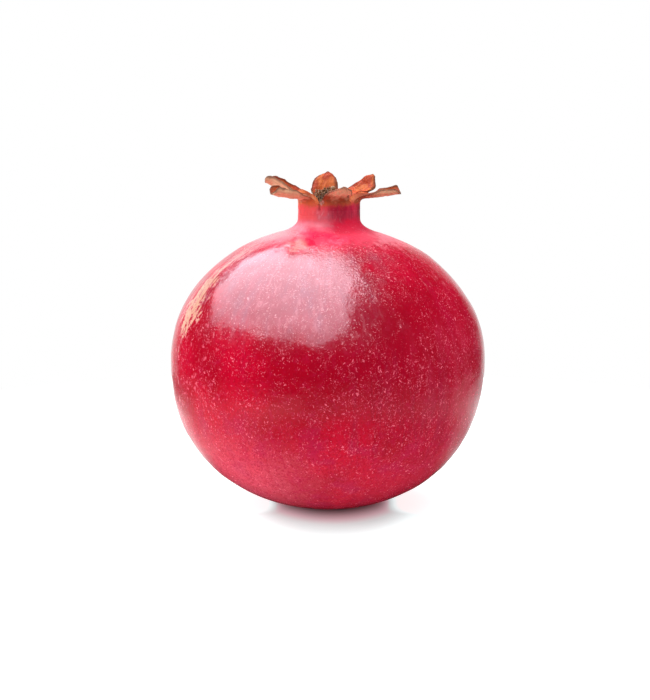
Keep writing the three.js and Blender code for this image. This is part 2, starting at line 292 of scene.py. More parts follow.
class Nodes:
    """A node tree."""

    def __init__(self, tree):
        self.tree = tree

    def node(self, kind, inputs, output=0, **settings):
        made = self.tree.nodes.new(kind)
        for key, value in settings.items():
            setattr(made, key, value)
        for key, value in inputs.items():
            self.feed(made.inputs[key], value)
        return Value(self, made.outputs[output]) if made.outputs else None

    def feed(self, socket, value):
        if isinstance(value, Value):
            self.tree.links.new(value.socket, socket)
        elif isinstance(value, tuple) and len(value) == 3 and socket.type == "RGBA":
            socket.default_value = (*value, 1)
        else:
            socket.default_value = value

    def mix(self, share, a, b):
        """The colour b over a, which have the sockets 6 and 7."""
        return self.node("ShaderNodeMix", {0: share, 6: a, 7: b}, 2, data_type="RGBA")

    def joined(self, x, y, z):
        return self.node("ShaderNodeCombineXYZ", {0: x, 1: y, 2: z})

    def ray(self, kind):
        return self.node("ShaderNodeLightPath", {}, kind)

    def place(self):
        """The object's own coordinates, in millimetres."""
        return self.node("ShaderNodeTexCoord", {}, "Object").scaled((1 / MM,) * 3)

    def attribute(self, name):
        return self.node("ShaderNodeAttribute", {}, 1, attribute_name=name).split()

    def noise(self, where, size, detail=2.0, roughness=0.5):
        inputs = {"Vector": where, "Scale": 1 / size, "Detail": detail, "Roughness": roughness}
        return self.node("ShaderNodeTexNoise", inputs)

    def dashes(self, where, spacing, length, width, share):
        """Short rods scattered through space, each in its own direction: 1 in a rod's middle
        and 0 outside it. share of the scattered points hold one."""
        inputs = {"Vector": where, "Scale": 1 / spacing}
        point = self.node("ShaderNodeTexVoronoi", inputs, "Position")
        pick, size, strength = point.other("Color").split()
        dice = self.node("ShaderNodeTexWhiteNoise", {"Vector": point}, 1)
        heading = dice.moved((-0.5, -0.5, -0.5)).vector("NORMALIZE")
        offset = where.vector("SUBTRACT", point)
        along = offset.dot(heading).math("MINIMUM", length / 2).larger(-length / 2)
        nearest = self.node("ShaderNodeVectorMath", {0: heading, 3: along}, operation="SCALE")
        # Rods are from 0.6 to 1.6 times width across, and some are fainter than others.
        depth = (size + 0.6) * (width / 2) - offset.gap(nearest)
        inside = depth.smooth(-0.15 * width, 0.35 * width)
        kept = (share - pick).smooth(0.0, 0.02)
        return inside * kept * strength.smooth(-0.15, 0.9)


class Shader(Nodes):
    """One material, coloured in coats that lie over one another."""

    def __init__(self, name, tone=(1, 1, 1)):
        self.material = bpy.data.materials.new(name)
        self.material.use_nodes = True
        super().__init__(self.material.node_tree)
        self.surface = self.tree.nodes["Principled BSDF"]
        self.colour = tone

    def lay(self, tone, *shares):
        """A coat of tone, which covers as much as the product of the shares."""
        self.colour = self.mix(math.prod(shares[1:], start=shares[0]), self.colour, tone)

    def join(self, values):
        for name, value in values.items():
            self.feed(self.surface.inputs[name], value)

    def finish(self, roughness, height):
        """Joins the colour, the roughness and the height of the relief, in millimetres."""
        bump = self.node("ShaderNodeBump", {"Height": height, "Distance": MM})
        self.join({"Base Color": self.colour, "Roughness": roughness, "Normal": bump})
        return self.material


# ---- colours, as linear light

MAROON = (0.33, 0.0010, 0.013)
DEEP_RED = (0.42, 0.0010, 0.013)
CLEAR_RED = (0.60, 0.0012, 0.024)
CRIMSON = (0.38, 0.004, 0.028)
DULL_RED = (0.48, 0.007, 0.052)
FLOOR_SHEEN_PINK = (0.80, 0.13, 0.19)
VIVID_PINK = (0.80, 0.010, 0.070)
PALE_PINK = (0.88, 0.30, 0.36)
CREAM = (0.86, 0.47, 0.33)
BLOT = (0.90, 0.44, 0.38)
LENTICEL = (0.90, 0.13, 0.21)
GLEAM_MAUVE = (0.30, 0.09, 0.145)
LENTICEL_GLEAM = (0.92, 0.52, 0.56)
NECK_LIT_CORAL = (0.88, 0.105, 0.12)
NECK_SHADED_CRIMSON = (0.68, 0.032, 0.09)
NECK_SHADED_DARK = (0.45, 0.014, 0.055)
RIM_ORANGE = (0.66, 0.15, 0.055)
SCAR = (0.16, 0.07, 0.035)
MAUVE = (0.62, 0.20, 0.26)
RUDDY = (0.78, 0.006, 0.05)
PLUM = (0.34, 0.018, 0.055)
DARK_LINE = (0.20, 0.002, 0.016)
CREASE_SHADE = (0.16, 0.012, 0.016)

SEPAL_INNER = (0.44, 0.060, 0.022)
SEPAL_GLOW = (0.62, 0.15, 0.04)
SEPAL_OUTER = (0.36, 0.078, 0.034)
# The outer tan is partly painted fill light: raised to stand in for bounce light on faces turned from the
# key.
SEPAL_TAN = (0.80, 0.43, 0.26)
SEPAL_DARK = (0.060, 0.014, 0.010)
TIP_GREY = (0.15, 0.085, 0.06)

STAMEN_TAN = (0.32, 0.175, 0.08)
STAMEN_DARK = (0.075, 0.042, 0.024)
ANTHER_GREY = (0.27, 0.125, 0.05)
TISSUE = (0.60, 0.34, 0.30)

BARK = (0.13, 0.085, 0.05)
CUT_WOOD = (0.42, 0.29, 0.16)

# ---- the skin's look

# Single marks of the photograph: the middle, the radius and the softness of the edge of each.
RED_SPOT = ((-16, -43, 32.5), 5, 4)
PALE_BLOT = ((-8.9, -19.2, 81.4), 3.4, 2.2)
RUDDY_BLUSH = ((-2.6, -15.8, 80.6), 5.0, 3.0)
MAUVE_SPOT = ((-1.4, -9.6, 88.4), 2.4, 1.8)
TORN_TISSUE = ((-1.8, -8.8, 93.3), 1.1, 0.9)

# The unblushed strip on the left flank: where its middle is, then heights and half its width.
STRIP_AZIMUTH = math.radians(202.5)
STRIP = [(51, -2), (56, 3.6), (60, 6.4), (66, 5.2), (73, 3.4), (80, 3), (86, 1.5)]

# Zones with more or fewer lenticels: the limits across and up, and by how much.
LENTICEL_ZONES = [
    ((-12, 0, 12, 26), (62, 71, 80, 83.5), 0.45),
    ((3, 11, 24, 34), (44, 52, 64, 72), -0.26),
    ((2, 14), (14, 26, 52, 64), 0.16),
    ((-34, -26, -6, 2), (36, 44, 54, 60), -0.16),
]

# The radius that streaks are laid out on, and how wide clouds and mottle tear an edge.
STREAK_RADIUS = 42.0
CLOUD_TEAR = 30
MOTTLE_TEAR = 9


class Skin(Shader):
    """A material that wears the rind's look. Places and sizes on it are in millimetres."""

    def __init__(self, name):
        super().__init__(name, DEEP_RED)
        self.where = self.place()
        self.x, self.y, self.z = self.where.split()
        radius = self.where.from_axis().larger(0.5)
        self.east = self.x.math("DIVIDE", radius) * STREAK_RADIUS
        self.north = self.y.math("DIVIDE", radius) * STREAK_RADIUS
        self.patch = self.noise(self.where, 19)
        self.cloud = self.noise(self.where.moved((7.0, 3.0, 1.0)), 8, 3, 0.6)
        self.mottle = self.noise(self.where, 2.2, 3, 0.65)
        self.torn = self.grained(0.65, 2.6, 4)
        self.lean = self.x + self.cloud.swing(CLOUD_TEAR)
        self.soft = self.mottle.swing(MOTTLE_TEAR)

    def fibres(self, stretch, size, detail=3.0, roughness=0.6):
        """Noise in streaks that run from stem to crown, longer as stretch is smaller."""
        place = self.joined(self.east, self.north, self.z * stretch)
        return self.noise(place, size, detail, roughness)

    def grained(self, stretch, size, detail=3.0, roughness=0.6):
        """Noise in upright grains, longer as stretch is smaller."""
        return self.noise(self.where.scaled((1, 1, stretch)), size, detail, roughness)

    def uneven(self, value, amount=1.0):
        """A place with the mottle's unevenness, for an edge that isn't straight."""
        return value + self.soft * amount

    def zone(self, across, up, place=None):
        """1 inside a zone and 0 outside it. Its sides are torn, unless place is the plain x."""
        place = self.lean if place is None else place
        return place.within(across) * self.z.within(up)


def lay_blush(sh):
    """Clear and deep patches, painted shade on the right flank and round the front, dull clouds, and a
    painted pink floor sheen low down.
    """
    sh.lay(CLEAR_RED, sh.patch.smooth(0.38, 0.62))
    # Painted shade: darker towards the right flank, which is turned from the key light.
    sh.lay(CRIMSON, (sh.x + sh.patch.swing(60)).smooth(4, 44, 0, 0.55))
    sh.lay(DULL_RED, sh.cloud.smooth(0.46, 0.66), sh.z.smooth(44, 26, 0.12, 0.9))

    # Painted shade: darker round the front's right above the middle, where the light falls least, and
    # high on the left, under the key's gleam. Below that, a faint darker zone on the left.
    tilted = sh.z + sh.lean * 0.1
    deep = sh.lean.band(-20, 2, 26, 50) * tilted.band(26, 44, 62, 76)
    high = sh.zone(across=(-40, -30, 8, 20), up=(58, 66, 76, 81))
    sh.lay(MAROON, deep.larger(high * 0.9), 0.75)
    sh.lay(MAROON, sh.zone(across=(-10, -28), up=(16, 28, 48, 60)), 0.18)
    # Painted sheen: a pink reflection of the floor, low down and strongest on the left.
    sh.lay(FLOOR_SHEEN_PINK, sh.lean.smooth(4, -24, 0.12, 0.6), sh.z.smooth(34, 12))
    spot = sh.where.near(*RED_SPOT) + sh.cloud.swing(1.6)
    sh.lay(DEEP_RED, spot.smooth(0.35, 0.9, 0, 0.7))


def lay_streaks(sh):
    """Streaks from stem to crown, and a fine mottle."""
    stain = sh.fibres(0.13, 3.8, 4).smooth(0.5, 0.64)
    sh.lay(PLUM, stain, sh.zone(across=(-6, 14), up=(64, 48), place=sh.x), 0.3)
    streak = sh.fibres(0.2, 3.4, 4)
    sh.lay(DULL_RED, streak.smooth(0.54, 0.74, 0, 0.4))
    sh.lay(DEEP_RED, streak.smooth(0.46, 0.26, 0, 0.35))
    sh.lay(DULL_RED, sh.mottle.smooth(0.5, 0.7), sh.z.smooth(48, 60, 0.45, 0.2))
    sh.lay(DEEP_RED, sh.mottle.smooth(0.46, 0.28, 0, 0.35))


def strip_depth(sh):
    """How far inside the unblushed strip's torn outline a point is."""
    outward = (math.cos(STRIP_AZIMUTH), math.sin(STRIP_AZIMUTH), 0)
    sideways = (-outward[1], outward[0], 0)
    beyond = sh.where.dot(outward).smooth(5, 15, 40, 0)
    half = STRIP[0][1]
    for (low, start), (high, end) in zip(STRIP, STRIP[1:]):
        half = sh.z.smooth(low, high, 0, end - start, form="LINEAR") + half
    depth = half - sh.where.dot(sideways).away()
    return depth + sh.torn.swing(18) - beyond


def lay_strip(sh):
    """The unblushed strip on the left flank, torn into flakes, with a pinker edge."""
    cracks = sh.fibres(0.3, 1.5).smooth(0.48, 0.6, 0, 4.5)
    flakes = sh.noise(sh.where, 1.5, 3, 0.65).smooth(0.48, 0.6) * sh.z.smooth(70, 58, 1, 4)
    bare = strip_depth(sh) - cracks - flakes
    sh.lay(PALE_PINK, bare.smooth(-2.6, -0.4, 0, 0.6))
    sh.lay(CREAM, bare.smooth(-0.5, 0.6), sh.z.smooth(77, 71, 0.3, 1))


def lay_shoulder(sh):
    """Round the neck: bright pink, paler to the left and right, with a ruddy patch."""
    height = sh.uneven(sh.z)
    sh.lay(VIVID_PINK, height.smooth(78, 83.5, 0, 0.9))
    side = sh.uneven(sh.x.away(3.5))
    pale = side.smooth(8.5, 13) * height.smooth(79.5, 83)
    foot = sh.uneven(sh.z, 0.3).band(85.0, 86.4, 87.8, 89.2) * sh.uneven(sh.x).smooth(3, -1)
    sh.lay(PALE_PINK, pale.larger(foot * 0.6), 0.6)
    blot = sh.where.near(*PALE_BLOT)
    frayed = blot + sh.torn.swing(3.2)
    sh.lay(BLOT, blot.smooth(0, 0.3), frayed.smooth(0.3, 1.1), 0.5)
    ruddy = sh.uneven(sh.x, 0.8).band(0, 3, 8, 11) * height.band(81.5, 83, 86.3, 88)
    sh.lay(RUDDY, ruddy, 0.9)
    return ruddy


def lay_neck(sh):
    """Coral on the left and crimson on the right, partly painted light and shade; orange at the rim, and
    a painted shade crease under a notch.
    """
    # Partly painted light and shade: the neck's own coral and crimson, lighter on the left where the key
    # falls and darker on the right, away from it.
    right = sh.mix(sh.grained(0.12, 1.5).smooth(0.36, 0.64), NECK_SHADED_DARK, NECK_SHADED_CRIMSON)
    neck = sh.mix(sh.uneven(sh.x, 0.9).smooth(-5.5, 2.5), NECK_LIT_CORAL, right)
    flecks = sh.grained(0.45, 1.1).smooth(0.48, 0.66) * sh.z.band(85.5, 86.6, 89, 92)
    flecks = flecks * sh.x.away(-1.0).smooth(6, 2, 0.2, 1)
    neck = sh.mix(flecks * 0.6, neck, PALE_PINK)
    mauve = sh.where.near(*MAUVE_SPOT) * sh.mottle.smooth(0.35, 0.6, 0.15, 0.45)
    neck = sh.mix(mauve, neck, MAUVE)
    foot_line = sh.uneven(sh.z + sh.patch.swing(4), 0.25)
    sh.lay(neck, foot_line.smooth(86.8, 89.2))
    rim = sh.uneven(sh.z, 0.35) + sh.x.smooth(-3, 3, 0.5, 0)
    sh.lay(RIM_ORANGE, rim.smooth(91.4, 93.6))
    # Painted shade: a dark line in the groove under the notch between the front sepals.
    line = sh.uneven(sh.x, 0.12).away(-2.6)
    crease = line.smooth(0.05, 0.5, 1, 0) * sh.z.band(90.2, 91.2, 93.0, 94.0)
    sh.lay(CREASE_SHADE, crease, sh.y.smooth(-3, -6), 0.6)


def lay_stem_scar(sh):
    """The brown ring round the stem."""
    sh.lay(SCAR, sh.where.from_axis().smooth(4.4, 6.4, 1, 0), sh.z.smooth(6, 9, 1, 0))


def lay_painted_gleam_and_marks(sh):
    """A painted highlight where the key's gleam falls: a darker mauve tone in upright patches, and pale
    clots standing in for its mottled sheen. Darker strands to its left, pale flames to its right, and
    dark nicks.
    """
    strands = sh.fibres(0.12, 3.2).smooth(0.48, 0.6)
    sh.lay(CRIMSON, strands, sh.zone(across=(-20, -32), up=(68, 73, 82, 86)), 0.55)
    # Painted highlight: the mauve tone and the pale clots lie only where the key's gleam falls.
    gleam_streaks = sh.fibres(0.35, 5.0, 4, 0.65).smooth(0.44, 0.7)
    gleam_zone = sh.zone(across=(-42, -24, 6, 24), up=(52, 62, 77, 83))
    sh.lay(GLEAM_MAUVE, gleam_zone, gleam_streaks * 0.4 + 0.2)
    sheen_clots = sh.fibres(0.5, 1.7).smooth(0.5, 0.68)
    sh.lay(PALE_PINK, sheen_clots, sh.zone(across=(-40, -25, 6, 22), up=(53, 61, 77, 82)), 0.24)
    flames = sh.fibres(0.6, 2.6, 4, 0.65).smooth(0.58, 0.74)
    sh.lay(PALE_PINK, flames, sh.zone(across=(4, 16, 28, 44), up=(62, 70, 78, 84)), 0.28)
    nicks = sh.grained(0.7, 0.9).smooth(0.5, 0.66)
    sh.lay(CRIMSON, nicks, sh.zone(across=(-14, 0, 14, 26), up=(56, 64, 80, 83.5)), 0.65)
    return gleam_zone


def lay_ruddy_blush(sh):
    """A ruddy patch with a torn edge, in front of the neck's foot."""
    blush = sh.where.near(*RUDDY_BLUSH) + sh.torn.swing(1.8)
    blush = blush.smooth(0.35, 0.9, 0, 0.8)
    sh.lay(RUDDY, blush)
    return blush


def lay_lines(sh):
    """Fine dark grain, and thin dark lines and then pale streaks down the right flank."""
    grain = sh.grained(0.6, 0.55, 2, 0.7).smooth(0.5, 0.64)
    sh.lay(MAROON, grain, sh.z.smooth(84, 78, 0, 0.5))
    lines = sh.fibres(0.1, 5.0).away(0.5).smooth(0.005, 0.035, 1, 0)
    sh.lay(DARK_LINE, lines, sh.zone(across=(-4, 12), up=(14, 30, 42, 64), place=sh.x), 0.25)
    streaks = sh.fibres(0.12, 3.0).smooth(0.4, 0.64, 0.3, 1)
    sh.lay(LENTICEL, streaks, sh.zone(across=(18, 36), up=(22, 34, 54, 64), place=sh.x), 0.09)


def lenticel_share(sh, blush):
    """The share of places that hold a lenticel."""
    share = sh.z.band(10, 28, 54, 70) * 0.12 + sh.noise(sh.where, 6).smooth(0.34, 0.66, 0.12, 0.6)
    share += blush * -0.4
    for across, up, more in LENTICEL_ZONES:
        share += sh.zone(across, up) * more
    return share * 1.25


def lay_lenticels(sh, gleam_zone, blush):
    """Bent dashes, finer ones between them, blobs on the left, a faint net below."""
    bent = sh.node("ShaderNodeTexNoise", {"Vector": sh.where, "Scale": 0.8, "Detail": 1.0}, 1)
    warped = sh.where.moved(bent.scaled((1.6, 1.6, 1.6)))
    upright = warped.scaled((1.0, 1.0, 0.75))
    share = lenticel_share(sh, blush)
    dashes = sh.dashes(upright, spacing=0.74, length=0.8, width=0.27, share=share)
    dust = sh.dashes(warped.moved((31.0, 7.0, 3.0)), spacing=0.46, length=0.34, width=0.18,
                     share=share + 0.12)
    flank = sh.zone(across=(-26, -38), up=(30, 40, 54, 62))
    blobs = sh.dashes(upright.moved((17.0, 3.0, 29.0)), spacing=1.4, length=0.8, width=0.55,
                      share=flank * 0.7)
    net = sh.noise(upright.moved((5.0, 43.0, 11.0)), 0.75, 2, 0.6).smooth(0.5, 0.7)

    # They are fewer on the neck. Where the key's gleam falls they are fainter and paler, a painted
    # highlight on them.
    below_neck = sh.z.smooth(83, 88, 1, 0.15)
    dust *= below_neck
    dashes *= below_neck * sh.noise(sh.where, 3.5).smooth(0.36, 0.6, 0.55, 1)
    dashes *= gleam_zone.smooth(0, 1, 1, 0.6)
    mark = sh.mix(gleam_zone * 0.85, LENTICEL, LENTICEL_GLEAM)
    sh.lay(DULL_RED, net, sh.z.smooth(46, 26, 0.1, 0.4))
    sh.lay(mark, dust, sh.z.smooth(46, 26, 0.55, 0.5))
    sh.lay(mark, dashes, sh.z.smooth(46, 26, 0.95, 0.9))
    sh.lay(LENTICEL, blobs, 0.7)
    return dashes, dust


def skin_finish(sh, ruddy, dashes, dust):
    """A soft orange peel, with lenticels that are dull and stand a little proud."""
    coarse = sh.zone(across=(-24, 0), up=(62, 72, 79, 84), place=sh.x)
    peel = sh.noise(sh.where, 1.3) * 0.05
    pores = sh.noise(sh.where, 0.6) * (coarse * 0.085 + 0.02)
    height = peel + pores + dashes * 0.03 + dust * 0.012
    roughness = sh.mottle.smooth(0.3, 0.7, 0.1, 0.15) + dashes * 0.2 + ruddy * 0.35
    roughness += sh.z.band(83, 86, 87.6, 90) * 0.35
    roughness += sh.lean.smooth(-10, 2) * sh.z.smooth(79, 83, 0, 0.3)
    return roughness, height


def lay_skin(sh):
    """Lays all the rind's colour. Returns its roughness and the height of its relief."""
    lay_blush(sh)
    lay_streaks(sh)
    lay_strip(sh)
    ruddy = lay_shoulder(sh)
    lay_neck(sh)
    lay_stem_scar(sh)
    gleam_zone = lay_painted_gleam_and_marks(sh)
    blush = lay_ruddy_blush(sh)
    lay_lines(sh)
    dashes, dust = lay_lenticels(sh, gleam_zone, blush)
    return skin_finish(sh, ruddy, dashes, dust)


# ---- materials


def skin_material():
    sh = Skin("rind_skin")
    sh.surface.inputs["IOR"].default_value = 1.33
    return sh.finish(*lay_skin(sh))


def sepal_material():
    """sepal holds how far along and across a point is, and 1 on the inner face. The second attribute
    holds how pale the whole sepal's outer face is made, partly its own tan and partly painted fill light."""
    sh = Skin("dried_sepal")
    skin_roughness, _ = lay_skin(sh)
    skin = sh.colour
    along, across, inner = sh.attribute("sepal")
    pale = sh.attribute("paleness_and_fill")[0]
    blotch = sh.noise(sh.where, 3.0, 3, 0.55)
    grain = sh.noise(sh.where, 0.6, 3, 0.6)
    veins = sh.noise(sh.joined(across * 5.0, along * 1.6, inner), 1.0, 3, 0.55)

    # Partly painted fill light: the outer faces' tan, paler towards the tip and on the paler sepals,
    # stands in for bounce light.
    paler = along.smooth(0.0, 0.7, 0, 0.36) + pale * 0.45 - 0.3 + blotch * 0.8
    outer_colour = sh.mix(paler.smooth(0.38, 0.7), SEPAL_OUTER, SEPAL_TAN)
    inner_colour = sh.mix(blotch.smooth(0.4, 0.62), SEPAL_INNER, SEPAL_GLOW)
    sh.colour = sh.mix(inner, outer_colour, inner_colour)
    sh.lay(SEPAL_OUTER, veins.smooth(0.52, 0.7, 0, 0.45))
    sh.lay(SEPAL_TAN, grain.smooth(0.56, 0.76, 0, 0.12))
    edge = across.away() + blotch.swing(0.4)
    sh.lay(SEPAL_DARK, edge.smooth(0.8, 0.98, 0, 0.7), along.smooth(0.08, 0.35))
    tip = along + blotch.swing(0.3)
    sh.lay(TIP_GREY, tip.smooth(0.86, 1.04, 0, 0.6))

    # The root is still skin, and dries out along a blotched edge.
    dried = (along + blotch.swing(0.25)).smooth(0.0, 0.16).larger(inner)
    sh.colour = sh.mix(dried, skin, sh.colour)
    torn = sh.where.near(*TORN_TISSUE) + grain.swing(2.2, 0.55)
    sh.lay(TISSUE, torn.smooth(0.45, 0.85, 0, 0.75))
    roughness = lerp(skin_roughness, grain.smooth(0.3, 0.7, 0.42, 0.62), dried)
    height = grain * 0.05 + veins * 0.12
    sh.surface.inputs["Specular IOR Level"].default_value = 0.03
    return sh.finish(roughness, height * dried)


def stamen_material():
    """tuft holds 1 on an anther, the height above the mat, and a number for each filament."""
    sh = Shader("dried_stamen", STAMEN_TAN)
    anther, above, pick = sh.attribute("tuft")
    where = sh.place()
    z = where.split()[2]
    grain = sh.noise(where, 0.5, 3)
    sh.lay(STAMEN_DARK, pick.smooth(0.1, 0.9))
    sh.lay(ANTHER_GREY, anther, grain.smooth(0.3, 0.6, 0.4, 1))
    # Painted shade: darker low on the filaments and on the mat, deep in the cup.
    sh.lay(STAMEN_DARK, above.smooth(0.0, 0.35, 0.7, 0))
    tissue = where.from_axis().smooth(4.4, 5.6) * z.smooth(94.0, 92.8)
    sh.lay(TISSUE, tissue, grain.smooth(0.35, 0.6, 0.3, 0.9))
    sh.surface.inputs["Specular IOR Level"].default_value = 0.25
    return sh.finish(grain.smooth(0.3, 0.7, 0.65, 0.9), grain * 0.05)


def stub_material():
    """Bark, and on the cut face rings round a dark pith."""
    sh = Shader("stem_wood", BARK)
    where = sh.place()
    z = where.split()[2]
    out = where.from_axis()
    grain = sh.noise(where.scaled((1, 1, 0.25)), 0.5, 4, 0.6)
    rings = (out * 9.0 + grain * 5.0).math("SINE")
    cut = sh.mix(rings.smooth(-0.4, 0.9, 0, 0.5), CUT_WOOD, BARK)
    cut = sh.mix(out.smooth(0.35, 0.6, 0.8, 0), cut, BARK)
    sh.lay(SCAR, grain.smooth(0.35, 0.7))
    low = z.smooth(STUB_BOTTOM + 0.15, STUB_BOTTOM + 0.4, 1, 0)
    sh.lay(cut, low, out.smooth(STUB_RADIUS - 0.7, STUB_RADIUS - 0.4, 1, 0))
    return sh.finish(grain.smooth(0.3, 0.7, 0.7, 0.9), grain * 0.15)


# ---- the rind

FOOT_SHARE = (FOOT_OUTER / BODY_RADIUS) ** BOWL_POWER
BOWL_DROP = EQUATOR_HEIGHT / (1 - FOOT_SHARE) ** (1 / BOWL_POWER)


def dome_height(radius):
    share = (radius / BODY_RADIUS) ** DOME_POWER
    return EQUATOR_HEIGHT + DOME_RISE * (1 - share) ** (1 / DOME_POWER)


def curve_points(start, corner, end, rows):
    """Points after the first on a curve that leaves start towards corner, and ends at end."""
    share = np.linspace(0, 1, rows + 1)[1:, None]
    start, corner, end = (np.array(point, dtype=float) for point in (start, corner, end))
    return (1 - share) ** 2 * start + 2 * share * (1 - share) * corner + share ** 2 * end


def bowl_profile():
    """The lower half of the body, up from the foot."""
    foot_turn = math.acos(math.sqrt(FOOT_SHARE))
    turn = foot_turn * (1 - np.arange(1, BOWL_ROWS) / BOWL_ROWS)
    return np.column_stack([
        BODY_RADIUS * np.cos(turn) ** (2 / BOWL_POWER),
        EQUATOR_HEIGHT - BOWL_DROP * np.sin(turn) ** (2 / BOWL_POWER),
    ])


def dome_profile():
    """The upper half of the body, up to the shoulder."""
    shoulder_turn = math.acos(SHOULDER_RADIUS / BODY_RADIUS)
    radius = BODY_RADIUS * np.cos(np.linspace(0, shoulder_turn, DOME_ROWS))
    return np.column_stack([radius, dome_height(radius)])


def rind_profile():
    """Radius and height, from the middle of the socket, round the outside, into the cup."""
    mouth = (SOCKET_RADIUS, DIMPLE_DEPTH)
    dome = dome_profile()
    step = 0.01
    slope = (dome_height(SHOULDER_RADIUS - step) - dome_height(SHOULDER_RADIUS)) / step
    corner = (NECK_RADIUS, dome[-1][1] + slope * (SHOULDER_RADIUS - NECK_RADIUS))
    bore = NECK_RADIUS - WALL
    return np.vstack([
        [(0, SOCKET_TOP), (SOCKET_RADIUS * 0.5, SOCKET_TOP), (SOCKET_RADIUS, SOCKET_TOP)],
        [(SOCKET_RADIUS, (SOCKET_TOP + DIMPLE_DEPTH) / 2), mouth],
        curve_points(mouth, (FOOT_INNER - 1, DIMPLE_DEPTH), (FOOT_INNER, 0), FOOT_ROWS),
        [((FOOT_INNER + FOOT_OUTER) / 2, 0), (FOOT_OUTER, 0)],
        bowl_profile(),
        dome,
        curve_points(dome[-1], corner, (NECK_RADIUS, NECK_FOOT_HEIGHT), SHOULDER_ROWS),
        np.linspace((NECK_RADIUS, NECK_FOOT_HEIGHT), (NECK_RADIUS, SEAM_HEIGHT), NECK_ROWS + 1)[1:],
        np.linspace((bore, SEAM_HEIGHT), (bore, CUP_FLOOR_HEIGHT + 2), CUP_ROWS),
        [(bore - 0.4, CUP_FLOOR_HEIGHT + 0.6), (CUP_FLOOR_RADIUS, CUP_FLOOR_HEIGHT)],
        [(0, CUP_FLOOR_HEIGHT)],
    ])


def band_share(height, band):
    start, full, fading, gone = band
    return smoothstep(height, start, full) * (1 - smoothstep(height, fading, gone))


def relief(azimuth, height):
    """How far the skin stands out from the plain profile, as on the frame's rind."""
    def wave(ring):
        return ring["height"] * np.cos(ring["count"] * (azimuth - math.radians(ring["peak"])))
    swell = sum(wave(ring) for ring in SWELLS)
    return band_share(height, RIB_BAND) * wave(RIBS) + band_share(height, SWELL_BAND) * swell


def dented(points):
    """Pushes the open skin in and out by layers of smooth bumps."""
    middle = Vector((0, 0, EQUATOR_HEIGHT))
    heights = points[:, 2]
    strength = smoothstep(heights, *DENTS_START) * (1 - NECK_EVENNESS * smoothstep(heights, *DENTS_END))
    for i, point in enumerate(points):
        radius = math.hypot(point[0], point[1])
        if strength[i] == 0 or radius < NECK_RADIUS - 1:
            continue
        push = sum(height * bumps(point, size, seed) for seed, (size, height) in enumerate(DENTS))
        out = (Vector(point) - middle).normalized()
        points[i] += np.array(out) * push * strength[i]
    return points


def build_rind(material):
    profile = rind_profile()
    columns = RIND_COLUMNS
    azimuth = np.linspace(0, 2 * math.pi, columns, endpoint=False)
    points = []
    starts = []
    for radius, height in profile:
        starts.append(len(points))
        if radius == 0:
            points.append((NECK_SHIFT if height > SHIFT_BAND[1] else 0, 0, height))
            continue
        reach = radius + relief(azimuth, height)
        shift = NECK_SHIFT * smoothstep(height, *SHIFT_BAND)
        points.extend(zip(reach * np.cos(azimuth) + shift, reach * np.sin(azimuth), [height] * columns))
    points = dented(np.array(points, dtype=float))

    first, last = starts[1], starts[-2]
    pairs = [(k, (k + 1) % columns) for k in range(columns)]
    faces = [(0, first + after, first + k) for k, after in pairs]
    faces += ring_sides(starts[1:-1], columns)
    faces += [(last + k, last + after, starts[-1]) for k, after in pairs]
    return add_mesh("rind_skin", points, faces, "rind", material)


# ---- the calyx


def sepal_axes(sepal, along):
    """Along the sepal, across it, and inward, which turns to up as the sepal bends out."""
    tilt = sepal["bend"] * smoothstep(along, 0, sepal["fold"])
    tilt += sepal["lift"] * smoothstep(along, sepal["rise"], 1)
    tilt += sepal["hook"] * smoothstep(along, HOOK_START, 1)
    tilt = math.radians(tilt)
    heading = math.radians((sepal["from"] + sepal["to"]) / 2 + sepal["sway"] * along)
    tangent = spoke(1, heading) * math.sin(tilt) + Vector((0, 0, math.cos(tilt)))
    across = Vector((-math.sin(heading), math.cos(heading), 0))
    inward = tangent.cross(across)
    roll = Matrix.Rotation(math.radians(sepal["twist"]) * smoothstep(along, 0.15, 1), 3, tangent)
    return tangent, roll @ across, roll @ inward


def sepal_centres(sepal):
    """The middle line of the outer face, a point for each row."""
    centre = spoke(NECK_RADIUS, math.radians((sepal["from"] + sepal["to"]) / 2), NOTCH_HEIGHT)
    rows = SEPAL_ROWS
    steps = 8
    centres = [centre.copy()]
    for i in range(rows * steps):
        centre += sepal_axes(sepal, (i + 0.5) / (rows * steps))[0] * (sepal["length"] / rows / steps)
        if (i + 1) % steps == 0:
            centres.append(centre.copy())
    return centres


def sepal_half_width(sepal, along):
    root = NECK_RADIUS * math.radians(sepal["to"] - sepal["from"]) / 2
    notch = 1 - NOTCH_DRAW * smoothstep(along, 0, 0.17)
    breadth = lerp(1, sepal["breadth"], smoothstep(along, 0, 0.4))
    taper = lerp(1, sepal["taper"], smoothstep(along, 0.1, 1))
    blade = (1 + BELLY * math.sin(math.pi * along)) * max(1 - along ** sepal["blunt"], 0) ** 0.55
    ragged = 1 + RAGGEDNESS * smoothstep(along, 0.1, 0.4) * bumps((along * 6, sepal["from"], 0), 1, 3)
    return max(root * notch * breadth * taper * blade * ragged, TIP_WIDTH / 2)


def running_sum(values, step):
    """A row's places, 0 at its middle, from the values between them."""
    total = np.concatenate([[0], np.cumsum(values)]) * step
    return total - total[len(total) // 2]


